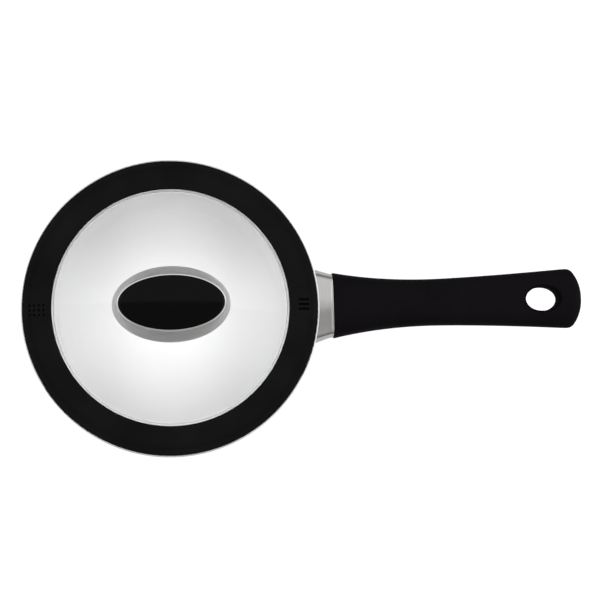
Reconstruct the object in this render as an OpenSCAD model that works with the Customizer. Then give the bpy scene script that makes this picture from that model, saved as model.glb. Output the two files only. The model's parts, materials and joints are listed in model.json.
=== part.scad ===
// Saucepan with a straining glass lid.
// Row frame: origin at the centre of the base where it stands, +Z up, +X along the handle. Millimetres.

/* [Pan] */
// Inside diameter of the pan
pan_d = 180; // [150:1:216]
// Height from the table to the top of the rim
pan_h = 92; // [76:1:112]
// Thickness of the pressed steel wall and floor
wall_t = 0.8; // [0.6:0.1:1.2]
// Inside radius between the wall and the floor
corner_r = 16; // [10:1:18]
// Radius at which the rim flares outwards for pouring
flare_r = 4; // [3:0.5:5]
// Flat lip beyond the flare
lip_w = 0.5; // [0.4:0.1:1.5]

/* [Base] */
// Thickness of the aluminium heat spreader
spreader_t = 5.6; // [3:0.1:8]
// Thickness of the steel cap under the spreader
base_cap_t = 0.6; // [0.4:0.1:1]
// Taper of the base's edge, in degrees from upright
base_taper = 24; // [10:1:35]

/* [Glass] */
// Thickness of the tempered glass
glass_t = 4; // [3:0.1:5]
// Height of the dome above its own edge
glass_rise = 15; // [10:0.5:22]
// Distance from the pan's inner wall to the edge of the glass
glass_inset = 6; // [5:0.5:9]
// Radius of the hole for the knob screw's bush
glass_hole_r = 5.2; // [4.6:0.1:7]

/* [Lid seal] */
// Width of the black band seen from above
band_w = 18.5; // [14:0.5:24]
// How far the pan's rim stands out beyond the band
rim_show = 1.2; // [0.5:0.1:3]
// Thickness of the lip that covers the glass
lip_t = 1.4; // [1:0.1:2.5]
// Thickness of the flange that rests on the rim
flange_t = 2.8; // [2:0.1:4]
// Depth of the skirt inside the pan
skirt_h = 12; // [9:0.5:18]
// Thickness of the skirt
skirt_t = 2.4; // [1.8:0.1:3]
// Gap between the skirt and the pan's wall
skirt_gap = 0.9; // [0.5:0.1:1.5]
// Fine straining holes in one row
fine_count = 9; // [5:1:11]
// Radius of a fine straining hole
fine_r = 1.3; // [0.8:0.1:1.5]
// Coarse straining slots
coarse_count = 5; // [3:1:6]
// Height of a coarse slot
coarse_h = 3.6; // [2:0.1:3.8]

/* [Knob] */
// Length of the steel collar at its lower, widest edge
collar_l = 73; // [60:0.5:88]
// Width of the steel collar at its lower edge
collar_w = 47.4; // [40:0.1:57]
// Length of the collar at its top edge
crown_l = 66.2; // [55:0.1:70]
// Width of the collar at its top edge
crown_w = 34.8; // [29:0.1:40]
// Height of the collar
collar_h = 16; // [12:0.5:20]
// Thickness of the collar's sheet
collar_t = 0.8; // [0.6:0.1:1.2]
// Clear height for the fingers between the glass and the collar
finger_h = 13.5; // [11:0.5:18]
// Length of the knob's foot
foot_l = 34; // [28:0.5:42]
// Width of the knob's foot
foot_w = 24; // [20:0.5:30]
// Rise of the cap above the collar's edge
cap_crown = 1.6; // [0.5:0.1:3]
// Thickness of the silicone seat under the foot
seat_t = 1.2; // [0.8:0.1:2]

/* [Handle] */
// Length of the grip
grip_l = 160; // [133:0.5:192]
// Width of the grip where it meets the flame guard
grip_front_w = 42.6; // [38:0.1:48]
// Width of the grip at its waist
grip_waist_w = 30.2; // [26:0.1:36]
// Width of the grip near its end
grip_tail_w = 38.6; // [33:0.1:44]
// Thickness of the grip at the front
grip_front_h = 23.4; // [20:0.1:28]
// Thickness of the grip near its end
grip_tail_h = 15; // [12:0.1:18]
// Height that the grip climbs towards its end
grip_rise = 16; // [8:0.5:24]
// Distance from the rim down to the middle of the grip's front
grip_drop = 18; // [16.5:0.5:24]
// Radius of the rounded end, seen from above
grip_end_r = 29; // [24:0.5:36]
// Length of the hanging hole
hang_l = 21.6; // [18:0.1:26]
// Width of the hanging hole
hang_w = 15.4; // [12.8:0.1:18.5]
// Distance from the grip's end to the middle of the hanging hole
hang_from_end = 26.2; // [22:0.1:31]

/* [Flame guard and bracket] */
// Length of the flame guard from the pan's wall
guard_l = 14; // [10:0.1:18]
// Width of the guard where it meets the grip
guard_w = 40; // [33:0.1:41.5]
// Height of the guard where it meets the grip
guard_h = 20.6; // [18:0.1:22.6]
// Widening of the guard per millimetre towards the pan, each side
guard_flare = 0.33; // [0.1:0.01:0.4]
// Sheet thickness of the guard
guard_t = 1; // [0.8:0.1:1.5]
// Length of the bracket's tang inside the grip
tang_l = 34; // [28:0.5:45]
// Width of the tang
tang_w = 18; // [14:0.5:22]
// Thickness of the bracket's steel
tang_t = 3; // [2:0.1:4]
// Radius of the handle screw and the knob screw
screw_r = 2.5; // [2:0.1:3]

/* [Hidden] */
$fn = 96;
dome_fn = 360;
eps = 0.01;
running_gap = 0.05;
clear_gap = 0.3;
weld_gap = 0.02;

pan_r = pan_d / 2;
pan_out_r = pan_r + wall_t;
base_t = spreader_t + base_cap_t;
floor_z = base_t + wall_t;
flare_c = [pan_out_r + flare_r - wall_t, pan_h - flare_r];
rim_r = flare_c[0] + lip_w;
base_top_r = pan_out_r - corner_r - wall_t - 0.4;

rest_gap = 0.2;
flange_z = pan_h + rest_gap;
band_out_r = rim_r - rim_show;
band_in_r = band_out_r - band_w;
glass_r = pan_r - glass_inset;
sphere_r = (glass_r * glass_r + glass_rise * glass_rise) / (2 * glass_rise);
glass_edge_z = flange_z + 2;
apex_z = glass_edge_z + glass_rise;
sphere_z = apex_z - sphere_r;
glass_under_z = apex_z - glass_t;
skirt_out_r = pan_r - skirt_gap;
skirt_in_r = skirt_out_r - skirt_t;
skirt_z = flange_z - skirt_h;
lower_lip_in_r = glass_r - 5.5;
lower_lip_t = 1.6;
band_in_z = top_sphere_z(band_in_r) + lip_t;
band_out_z = flange_z + flange_t;
edge_round = 1.1;
lip_ease = 0.45;
fan_step = 4.6;
fine_rows = 2;
fine_pitch = 4;
coarse_w = 8;
coarse_step = 9;
channel_h = 1.8;
mark_deep = 0.6;
mark_pitch = 3;
mark_r = (band_in_r + band_out_r) / 2;

foot_z = apex_z + seat_t;
collar_z = apex_z + finger_h;
crown_z = collar_z + collar_h;
foot_a = foot_l / 2;
foot_b = foot_w / 2;
core_wall = 2.6;
cup_gap = 0.15;
hem_w = 3.2;
neck_tuck = 2.5;
screw_head_r = screw_r * 1.95;
screw_head_h = screw_r * 1.12;
washer_t = 1.1;
bush_t = 1.1;
cup_t = 0.8;
cup_r = glass_hole_r + 5.6;
bush_z = glass_under_z - 0.2 - bush_t;
cup_z = bush_z - 2 * running_gap - cup_t;
knob_washer_z = cup_z - washer_t;
insert_r = screw_r + 1.7;
insert_z = foot_z + 1.5;
insert_h = 13;

grip_x = pan_out_r + guard_l;
grip_z = pan_h - grip_drop;
grip_end_x = grip_x + grip_l;
waist_x = grip_x + 0.39 * grip_l;
tail_x = grip_end_x - 10;
tang_angle = atan(grip_rise * PI / 2 / grip_l);
grip_screw_x = tang_l - 12;
hang_x = grip_end_x - hang_from_end;
end_round = 7;
grip_sides = 40;
guard_sides = 48;
section_power = 2.7;
corner_blend = 16;
hang_ease = 1.3;
bead = 0.3;
guard_power = 3;
guard_flare_up = 0.72;
saddle_w = guard_w - 8;
saddle_h = guard_h - 2;
nut_r = screw_r + 2;
nut_h = 4.5;
grip_head_depth = 1.6;

// ---------- shared shapes ----------

// Height of the glass's upper surface at radius r
function top_sphere_z(r) = sphere_z + sqrt(sphere_r * sphere_r - r * r);

// Height of the glass's lower surface at radius r
function low_sphere_z(r) = sphere_z + sqrt(pow(sphere_r - glass_t, 2) - r * r);

// One point of a rounded outline with half sizes a and b; power 2 is an ellipse, more is squarer
function outline(t, a, b, power) = [
    a * sign(cos(t)) * pow(abs(cos(t)), 2 / power),
    b * sign(sin(t)) * pow(abs(sin(t)), 2 / power)
];

// An oval ring of points at height z
function oval(z, a, b, sides = 72) = [
    for (i = [0:sides - 1]) [a * cos(i * 360 / sides), b * sin(i * 360 / sides), z]
];

// A solid through a list of rings, with triangles between neighbours; closed joins the last ring to the first
module loft(rings, closed = false) {
    n = len(rings[0]);
    m = len(rings);
    last = closed ? m - 1 : m - 2;
    sides = [
        for (k = [0:last], j = [0:n - 1], half = [0, 1])
            let (
                a = k * n + j,
                b = k * n + (j + 1) % n,
                c = ((k + 1) % m) * n + (j + 1) % n,
                d = ((k + 1) % m) * n + j
            )
            half == 0 ? [a, d, c] : [a, c, b]
    ];
    start_cap = [[for (j = [0:n - 1]) j]];
    end_cap = [[for (j = [n - 1:-1:0]) (m - 1) * n + j]];
    polyhedron([for (r = rings) each r], closed ? sides : concat(sides, start_cap, end_cap));
}

// A quarter of a round bead, swept as a profile: between radii r and r - t, above and inside of centre c
module quarter(c, r, t, flip) {
    intersection() {
        translate(c) difference() {
            circle(r);
            circle(r - t);
        }
        translate([c[0] - (flip ? 0 : r), c[1] - (flip ? r : 0)]) square([r, r]);
    }
}

// A machine screw pointing up from its bearing face at z = 0, with a cross recess in its head
module machine_screw(length) {
    difference() {
        union() {
            cylinder(r = screw_r - running_gap, h = length);
            translate([0, 0, -screw_head_h]) cylinder(r = screw_head_r, h = screw_head_h);
        }
        for (turn = [0, 90])
            rotate([0, 0, turn])
                translate([-screw_r, -screw_r * 0.18, -screw_head_h - eps])
                    cube([screw_r * 2, screw_r * 0.36, screw_head_h * 0.6]);
    }
}

// A split spring washer lying on z = 0
module lock_washer() {
    difference() {
        cylinder(r = screw_head_r * 0.94, h = washer_t);
        translate([0, 0, -eps]) cylinder(r = screw_r + running_gap * 3, h = washer_t + 2 * eps);
        translate([0, -0.5, -eps]) cube([screw_head_r, 1, washer_t + 2 * eps]);
    }
}

// ---------- pan ----------

module pan_profile() {
    flat_r = pan_r - corner_r;
    translate([0, base_t]) square([flat_r, wall_t]);
    quarter([flat_r, floor_z + corner_r], corner_r + wall_t, wall_t, true);
    translate([pan_r, floor_z + corner_r]) square([wall_t, flare_c[1] - floor_z - corner_r]);
    quarter(flare_c, flare_r, wall_t, false);
    translate([flare_c[0], pan_h - wall_t]) square([lip_w - wall_t / 2, wall_t]);
    translate([rim_r - wall_t / 2, pan_h - wall_t / 2]) circle(wall_t / 2);
}

module pan_shell() {
    color("silver") rotate_extrude() pan_profile();
}

module base_cone(r_top, z_low, z_high) {
    taper = tan(base_taper);
    r_low = r_top - (base_t - z_low) * taper;
    r_high = r_top - (base_t - z_high) * taper;
    translate([0, 0, z_low]) cylinder(r1 = r_low, r2 = r_high, h = z_high - z_low);
}

module heat_spreader() {
    color("lightgray") base_cone(base_top_r - base_cap_t, base_cap_t, base_t);
}

module base_cap() {
    color("silver") difference() {
        base_cone(base_top_r, 0, base_t);
        base_cone(base_top_r - base_cap_t, base_cap_t, base_t + eps);
    }
}

// ---------- handle ----------

// Places children in the tang's frame: origin at the middle of the grip's front, X along the tang
module on_tang() {
    translate([grip_x, 0, grip_z]) rotate([0, -tang_angle, 0]) children();
}

module pan_clearance() {
    cylinder(r = pan_out_r + weld_gap, h = pan_h);
}

module handle_bracket() {
    saddle_r = pan_out_r + weld_gap;
    saddle_z = grip_z - guard_l * tan(tang_angle);
    color("gray") difference() {
        union() {
            intersection() {
                cylinder(r = saddle_r + tang_t * 0.6, h = pan_h);
                translate([0, -saddle_w / 2, saddle_z - saddle_h / 2])
                    cube([pan_out_r + 20, saddle_w, saddle_h]);
            }
            on_tang() translate([-guard_l - 2, -tang_w / 2, -tang_t / 2])
                cube([guard_l + 2 + tang_l, tang_w, tang_t]);
        }
        pan_clearance();
        on_tang() translate([grip_screw_x, 0, -tang_t])
            cylinder(r = screw_r + running_gap * 4, h = 2 * tang_t);
    }
}

module bracket_nut() {
    color("dimgray") on_tang() translate([grip_screw_x, 0, tang_t / 2]) difference() {
        cylinder(r = nut_r, h = nut_h);
        translate([0, 0, -eps]) cylinder(r = screw_r, h = nut_h + 2 * eps);
    }
}

// A section of the guard at x, shrunk by t for its inside
function guard_ring(x, t) =
    let (
        back = grip_x - x,
        a = guard_w / 2 + guard_flare * back - t,
        b = guard_h / 2 + guard_flare * guard_flare_up * back - t,
        zc = grip_z - back * tan(tang_angle)
    )
    [
        for (i = [0:guard_sides - 1])
            let (p = outline(i * 360 / guard_sides, a, b, guard_power))
            [x, p[0], zc + p[1]]
    ];

module flame_guard() {
    inner_x = pan_out_r - guard_w * guard_w / (8 * pan_out_r) - 6;
    color("silver") difference() {
        loft([
            guard_ring(inner_x, 0), guard_ring(grip_x - 1.8, 0), guard_ring(grip_x - 1.5, -bead),
            guard_ring(grip_x - 0.3, -bead), guard_ring(grip_x, 0),
            guard_ring(grip_x, guard_t), guard_ring(inner_x, guard_t)
        ], closed = true);
        pan_clearance();
    }
}

// Half width of the grip: widest at the front, waisted, wide again near its end
function grip_side(x) =
    x < waist_x
    ? grip_waist_w / 2 + (grip_front_w - grip_waist_w) / 2 * pow((waist_x - x) / (waist_x - grip_x), 2.1)
    : grip_waist_w / 2 + (grip_tail_w - grip_waist_w) / 2 * pow((x - waist_x) / (tail_x - waist_x), 1.5);

// Half width where the rounded end cuts the sides
function grip_end(x) = sqrt(max(0.01, pow(grip_end_r, 2) - pow(max(0, x - grip_end_x + grip_end_r), 2)));

// The narrower of the two, with the corner between them rounded
function grip_half_w(x) =
    pow(pow(grip_side(x), -corner_blend) + pow(grip_end(x), -corner_blend), -1 / corner_blend);

// Half thickness, rounded off over the last few millimetres
function grip_half_h(x) =
    let (
        left = (grip_end_x - x) / grip_l,
        body = grip_tail_h / 2 + (grip_front_h - grip_tail_h) / 2 * left * left,
        near = max(0, 1 - (grip_end_x - x) / end_round)
    )
    body * sqrt(max(0.02, 1 - near * near));

// Height of the grip's middle line, which climbs and levels off
function grip_mid_z(x) = grip_z + grip_rise * sin(90 * (x - grip_x) / grip_l);

function grip_ring(x) = [
    for (i = [0:grip_sides - 1])
        let (p = outline(i * 360 / grip_sides, grip_half_w(x), grip_half_h(x), section_power))
        [x, p[0], grip_mid_z(x) + p[1]]
];

module grip_body() {
    straight = [for (i = [0:24]) grip_x + (grip_l - end_round - 2) * i / 24];
    rounded = [for (i = [1:9]) grip_end_x - (end_round + 2) * pow(1 - i / 9, 1.8) - 0.02];
    loft([for (x = concat(straight, rounded)) grip_ring(x)]);
}

// Where the head of the handle screw bears, below the tang
module grip_screw_axis() {
    on_tang() translate([grip_screw_x, 0, 0]) children();
}

function grip_seat() = -(grip_half_h(grip_x + grip_screw_x) - grip_head_depth - screw_head_h - washer_t);

// The oval hole through the grip, opened out at both faces
module hanging_hole() {
    half_h = grip_half_h(hang_x);
    translate([hang_x, 0, grip_mid_z(hang_x)]) scale([hang_l / hang_w, 1, 1]) {
        translate([0, 0, -grip_front_h]) cylinder(r = hang_w / 2, h = grip_front_h * 2);
        for (side = [0, 1])
            mirror([0, 0, side]) translate([0, 0, half_h - hang_ease])
                cylinder(r1 = hang_w / 2, r2 = hang_w / 2 + 2 * hang_ease, h = 2 * hang_ease);
    }
}

module handle_grip() {
    room = clear_gap;
    color("#151516") difference() {
        grip_body();
        on_tang() translate([-5, -tang_w / 2 - room, -tang_t / 2 - room])
            cube([tang_l + 5 + room, tang_w + 2 * room, tang_t + 2 * room]);
        on_tang() translate([-5, -nut_r - room, 0])
            cube([grip_screw_x + 5, 2 * (nut_r + room), tang_t / 2 + nut_h + room]);
        grip_screw_axis() cylinder(r = nut_r + room, h = tang_t / 2 + nut_h + room);
        grip_screw_axis() translate([0, 0, grip_seat() - eps])
            cylinder(r = screw_r + clear_gap, h = -grip_seat());
        grip_screw_axis() translate([0, 0, grip_seat() - grip_front_h])
            cylinder(r = screw_head_r + 0.4, h = grip_front_h);
        hanging_hole();
    }
}

module handle_screw() {
    length = -grip_seat() + washer_t + tang_t / 2 + nut_h;
    color("silver") grip_screw_axis() translate([0, 0, grip_seat() - washer_t]) machine_screw(length);
}

module handle_lock_washer() {
    color("dimgray") grip_screw_axis() translate([0, 0, grip_seat() - washer_t]) lock_washer();
}

// ---------- lid ----------

module glass_dome() {
    color("lightcyan", 0.4) difference() {
        intersection() {
            translate([0, 0, sphere_z]) sphere(sphere_r, $fn = dome_fn);
            translate([0, 0, flange_z - skirt_h]) cylinder(r = glass_r, h = skirt_h + glass_rise + 20);
        }
        translate([0, 0, sphere_z]) sphere(sphere_r - glass_t, $fn = dome_fn);
        translate([0, 0, flange_z]) cylinder(r = glass_hole_r, h = glass_rise + 20);
    }
}

// Points of the band's rounded outer edge, from angle a to angle b about height z
function rounded_edge(z, a, b) = [
    for (i = [0:6])
        let (turn = a + (b - a) * i / 6)
        [band_out_r - edge_round + edge_round * cos(turn), z + edge_round * sin(turn)]
];

// The seal's section: a lip over the glass, a flange on the rim, and a skirt inside the pan
module seal_profile() {
    lip_low_z = low_sphere_z(lower_lip_in_r) - lower_lip_t;
    difference() {
        polygon(concat(
            [
                [band_in_r, low_sphere_z(band_in_r)],
                [band_in_r, band_in_z - lip_ease], [band_in_r + lip_ease, band_in_z]
            ],
            rounded_edge(band_out_z - edge_round, 90, 0),
            rounded_edge(flange_z + edge_round, 0, -90),
            [
                [skirt_out_r, flange_z], [skirt_out_r, skirt_z + lip_ease], [skirt_out_r - lip_ease, skirt_z],
                [skirt_in_r + lip_ease, skirt_z], [skirt_in_r, skirt_z + lip_ease],
                [skirt_in_r, lip_low_z - 1.6], [lower_lip_in_r, lip_low_z]
            ]
        ));
        intersection() {
            translate([0, sphere_z]) difference() {
                circle(sphere_r, $fn = dome_fn);
                circle(sphere_r - glass_t, $fn = dome_fn);
            }
            square([glass_r, apex_z]);
        }
        translate([band_in_r - 5, 0])
            square([lower_lip_in_r - band_in_r + 5, low_sphere_z(lower_lip_in_r) + glass_t / 2]);
    }
}

// Channels under the flange that let the liquid over the rim
module drain_channels(count, step, width) {
    for (i = [0:count - 1])
        rotate([0, 0, (i - (count - 1) / 2) * step])
            translate([skirt_in_r + skirt_t / 2, -width / 2, flange_z - eps])
                cube([band_out_r, width, channel_h + eps]);
}

module fine_holes() {
    for (row = [0:fine_rows - 1], i = [0:fine_count - 1 - row])
        rotate([0, 0, (i - (fine_count - 1 - row) / 2) * fan_step])
            translate([skirt_in_r - 2, 0, skirt_z + 3 + row * fine_pitch])
                rotate([0, 90, 0]) cylinder(r = fine_r, h = skirt_t + 4);
}

module coarse_slots() {
    for (i = [0:coarse_count - 1])
        rotate([0, 0, (i - (coarse_count - 1) / 2) * coarse_step])
            translate([skirt_in_r - 2, -coarse_w / 2, skirt_z + 3])
                cube([skirt_t + 4, coarse_w, coarse_h]);
}

// Places children on the middle of the band's sloping top, sunk into it
module on_band() {
    run = band_out_r - edge_round - band_in_r;
    fall = band_in_z - band_out_z;
    translate([mark_r, 0, band_in_z - fall * (mark_r - band_in_r) / run])
        rotate([0, atan(fall / run), 0])
            translate([0, 0, -mark_deep]) children();
}

// Sunken dots that mark the fine side
module fine_mark() {
    on_band() for (i = [-1.5:1.5], j = [-1:1])
        translate([mark_pitch * i, mark_pitch * j, 0]) cylinder(r = 0.75, h = 3);
}

// Sunken bars that mark the coarse side
module coarse_mark() {
    on_band() for (j = [-1:1])
        translate([-3.4, mark_pitch * j - 0.7, 0]) cube([6.8, 1.4, 3]);
}

module rim_seal() {
    color("#161617") difference() {
        rotate_extrude() seal_profile();
        rotate([0, 0, 180]) {
            fine_holes();
            drain_channels(fine_count, fan_step, 2.4);
            fine_mark();
        }
        coarse_slots();
        drain_channels(coarse_count, coarse_step, 5);
        coarse_mark();
    }
}

module glass_bush() {
    color("whitesmoke") translate([0, 0, bush_z]) difference() {
        union() {
            cylinder(r = glass_hole_r + 3, h = bush_t);
            cylinder(r = glass_hole_r - running_gap * 2, h = bush_t + 0.2 + glass_t);
        }
        translate([0, 0, -eps]) cylinder(r = screw_r + running_gap * 4, h = glass_t + bush_t + 1);
    }
}

// ---------- knob ----------

module knob_seat() {
    color("#202022") difference() {
        translate([0, 0, apex_z - 1.5]) linear_extrude(seat_t + 1.5)
            scale([foot_a / foot_b, 1]) circle(foot_b);
        translate([0, 0, sphere_z]) sphere(sphere_r, $fn = dome_fn);
        translate([0, 0, apex_z - 5]) cylinder(r = glass_hole_r, h = 10);
    }
}

// The collar's half sizes between its lower edge, share 0, and its top edge, share 1, shrunk by t
function collar_oval(share, t) = oval(
    collar_z + collar_h * share,
    collar_l / 2 + (crown_l - collar_l) / 2 * share - t,
    collar_w / 2 + (crown_w - collar_w) / 2 * share - t
);

module knob_collar() {
    color("silver") loft([
        collar_oval(0, 0), collar_oval(0.97, 0), collar_oval(1, 0.35), collar_oval(1, collar_t),
        collar_oval(collar_t / collar_h, collar_t),
        collar_oval(collar_t / collar_h, hem_w), collar_oval(0, hem_w)
    ], closed = true);
}

// The black body: an oval foot, a narrow neck for the fingers, and a cup that fills the collar
module core_outside() {
    under_z = collar_z - 0.6;
    cup_in = collar_t + cup_gap;
    loft([
        oval(foot_z, foot_a, foot_b),
        oval(foot_z + 2, foot_a, foot_b),
        oval(foot_z + 0.45 * (under_z - foot_z), foot_a - neck_tuck, foot_b - neck_tuck * 0.6),
        oval(foot_z + 0.7 * (under_z - foot_z), foot_a + 0.5, foot_b),
        oval(foot_z + 0.9 * (under_z - foot_z), foot_a + 6, foot_b + 3.2),
        oval(under_z, collar_l / 2 - 4.5, collar_w / 2 - 4.5),
        oval(collar_z + cup_in, collar_l / 2 - 4, collar_w / 2 - 4),
        collar_oval(cup_in / collar_h, cup_in + 0.2),
        collar_oval(1 - 2.6 / collar_h, cup_in)
    ]);
}

module knob_core() {
    boss_r = insert_r + 2;
    floor_share = 3 / collar_h;
    color("#111112") difference() {
        core_outside();
        difference() {
            loft([collar_oval(floor_share, collar_t + core_wall), collar_oval(1, collar_t + core_wall)]);
            cylinder(r = boss_r, h = crown_z - 4);
        }
        translate([0, 0, foot_z - eps]) cylinder(r = screw_r + clear_gap, h = collar_h + finger_h);
        translate([0, 0, insert_z]) cylinder(r = insert_r, h = insert_h + 40);
    }
}

module knob_insert() {
    color("goldenrod") translate([0, 0, insert_z]) difference() {
        cylinder(r = insert_r, h = insert_h);
        translate([0, 0, -eps]) cylinder(r = screw_r, h = insert_h + 2 * eps);
        for (groove = [0.3, 0.65])
            translate([0, 0, insert_h * groove]) difference() {
                cylinder(r = insert_r + 1, h = 1.2);
                translate([0, 0, -eps]) cylinder(r = insert_r - 0.6, h = 1.2 + 2 * eps);
            }
    }
}

module knob_cap() {
    gap = collar_t + 0.1;
    rim_share = 1 - 2.5 / collar_h;
    bulge = [0.35, 0.6, 0.8, 0.92, 1];
    a = crown_l / 2 - gap;
    b = crown_w / 2 - gap;
    color("#0c0c0d") union() {
        loft(concat(
            [collar_oval(rim_share, gap), collar_oval(1, gap)],
            [for (s = bulge) let (k = sqrt(1 - s * s * 0.97)) oval(crown_z + cap_crown * s, a * k, b * k)]
        ));
        for (side = [-1, 1])
            translate([side * (crown_l / 2 - 12) - 1.5, -3, crown_z - 8]) cube([3, 6, 6]);
    }
}

module knob_screw() {
    color("silver") translate([0, 0, knob_washer_z]) machine_screw(insert_z + insert_h - 2 - knob_washer_z);
}

module knob_spring_washer() {
    color("dimgray") translate([0, 0, knob_washer_z]) lock_washer();
}

module knob_cup_washer() {
    dish_r = glass_hole_r + 3.4;
    dish_h = 0.8;
    color("silver") translate([0, 0, cup_z]) rotate_extrude() polygon([
        [screw_r + running_gap * 4, 0], [dish_r, 0], [cup_r, dish_h], [cup_r, dish_h + cup_t],
        [dish_r, cup_t], [screw_r + running_gap * 4, cup_t]
    ]);
}

pan_shell();
heat_spreader();
base_cap();
handle_bracket();
bracket_nut();
flame_guard();
handle_grip();
handle_screw();
handle_lock_washer();
knob_screw();
knob_spring_washer();
knob_cup_washer();
glass_dome();
rim_seal();
glass_bush();
knob_seat();
knob_core();
knob_insert();
knob_collar();
knob_cap();
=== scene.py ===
"""Saucepan with a glass lid: finishes for its metal, glass and rubber, and its moulded and pressed pieces."""

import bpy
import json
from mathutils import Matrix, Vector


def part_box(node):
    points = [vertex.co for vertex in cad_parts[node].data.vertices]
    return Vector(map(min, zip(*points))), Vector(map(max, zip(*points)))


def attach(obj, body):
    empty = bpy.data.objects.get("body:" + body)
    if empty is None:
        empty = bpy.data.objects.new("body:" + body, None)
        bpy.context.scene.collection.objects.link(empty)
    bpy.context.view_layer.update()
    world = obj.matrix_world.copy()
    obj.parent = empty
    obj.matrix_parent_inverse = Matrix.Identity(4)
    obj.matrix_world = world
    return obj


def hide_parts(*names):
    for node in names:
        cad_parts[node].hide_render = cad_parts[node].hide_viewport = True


bl_info = {
    "name": "Saucepan with Glass Lid",
    "version": (1, 0, 0),
    "blender": (4, 5, 0),
    "location": "View3D > Sidebar > Saucepan",
    "description": "Finishes and detailed pieces for a steel saucepan with a glass lid",
    "category": "Object",
}

import json
import math

import bpy
from bpy.props import FloatProperty, FloatVectorProperty, IntProperty, PointerProperty
from bpy.types import Operator, Panel, PropertyGroup
from mathutils import Vector

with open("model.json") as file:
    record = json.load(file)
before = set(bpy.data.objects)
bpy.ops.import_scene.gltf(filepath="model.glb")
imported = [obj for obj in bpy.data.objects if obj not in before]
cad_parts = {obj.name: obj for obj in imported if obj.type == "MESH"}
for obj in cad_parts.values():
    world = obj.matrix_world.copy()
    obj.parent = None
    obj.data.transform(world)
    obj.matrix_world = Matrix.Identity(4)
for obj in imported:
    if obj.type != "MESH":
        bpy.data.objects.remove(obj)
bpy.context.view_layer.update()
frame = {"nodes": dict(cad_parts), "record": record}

_, shell_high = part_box("pan_shell")
grip_low, grip_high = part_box("handle_grip")
guard_low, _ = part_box("flame_guard")
core_low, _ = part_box("knob_core")
collar_low, collar_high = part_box("knob_collar")
cap_low, cap_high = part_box("knob_cap")
insert_low, insert_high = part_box("knob_insert")
wall_radius = 0.0908  # outside of the pan's wall
guard_gap = 0.00002  # clearance of the flame guard from that wall


# ---------- sizes and colours ----------


def length(name, description, default, **more):
    return FloatProperty(
        name=name, description=description, default=default, min=0.0, unit="LENGTH", subtype="DISTANCE",
        precision=5, **more,
    )


def tint(name, description, default):
    return FloatVectorProperty(
        name=name, description=description, default=default, min=0.0, max=1.0, size=3, subtype="COLOR",
    )


class SaucepanGripSizes(PropertyGroup):
    """Sizes of the moulded grip and its hanging hole."""

    long: length("Length", "Length of the grip along the handle", 0.160)
    front_w: length("Front Width", "Width where the grip meets the guard", 0.0426)
    waist_w: length("Waist Width", "Width at the narrowest place", 0.0302)
    tail_w: length("Tail Width", "Width just before the rounded end", 0.0386)
    front_h: length("Front Thickness", "Thickness where the grip meets the guard", 0.0234)
    tail_h: length("Tail Thickness", "Thickness near the free end", 0.015)
    rise: length("Rise", "How far the middle line climbs", 0.016)
    end_r: length("End Radius", "Radius of the free end seen from above", 0.029)
    end_round: length("End Rounding", "Length over which the free end thins out", 0.007)
    hole_l: length("Hole Length", "Length of the hanging hole", 0.0216)
    hole_w: length("Hole Width", "Width of the hanging hole", 0.0154)
    hole_back: length("Hole Setback", "From the free end to the middle of the hole", 0.0262)
    hole_ease: length("Hole Easing", "Rounding of the hole's edges", 0.0013)
    power: FloatProperty(
        name="Squareness", description="2 gives an oval section, more is squarer", default=2.7, min=2.0,
        max=6.0,
    )


class SaucepanGuardSizes(PropertyGroup):
    """Sizes of the pressed steel guard between pan and grip."""

    wide: length("Width", "Width at the grip", 0.040)
    high: length("Height", "Height at the grip", 0.0206)
    wall: length("Wall", "Thickness of the sheet", 0.001)
    bead: length("Bead", "How far the rolled edge stands out", 0.0003)
    flare: FloatProperty(
        name="Flare", description="Widening on each side for each unit of length", default=0.33, min=0.0,
        max=1.0,
    )
    flare_up: FloatProperty(
        name="Upward Share", description="Share of the flare taken in height", default=0.72, min=0.0, max=1.0,
    )
    power: FloatProperty(
        name="Squareness", description="2 gives an oval section, more is squarer", default=3.0, min=2.0,
        max=6.0,
    )


class SaucepanKnobSizes(PropertyGroup):
    """Sizes of the lid's oval knob."""

    long: length("Length", "Length of the collar at its lower edge", 0.073)
    wide: length("Width", "Width of the collar at its lower edge", 0.0474)
    top_long: length("Top Length", "Length of the collar at its top edge", 0.0662)
    top_wide: length("Top Width", "Width of the collar at its top edge", 0.0348)
    wall: length("Collar Wall", "Thickness of the collar's sheet", 0.0008)
    hem: length("Hem", "Width of the collar's turned-in lower edge", 0.0032)
    foot_long: length("Foot Length", "Length of the foot on the glass", 0.034)
    foot_wide: length("Foot Width", "Width of the foot on the glass", 0.024)
    neck: length("Neck", "How far the neck tucks in above the foot", 0.0025)
    sides: IntProperty(name="Sides", description="Points round each oval", default=160, min=48, max=360)


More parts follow.
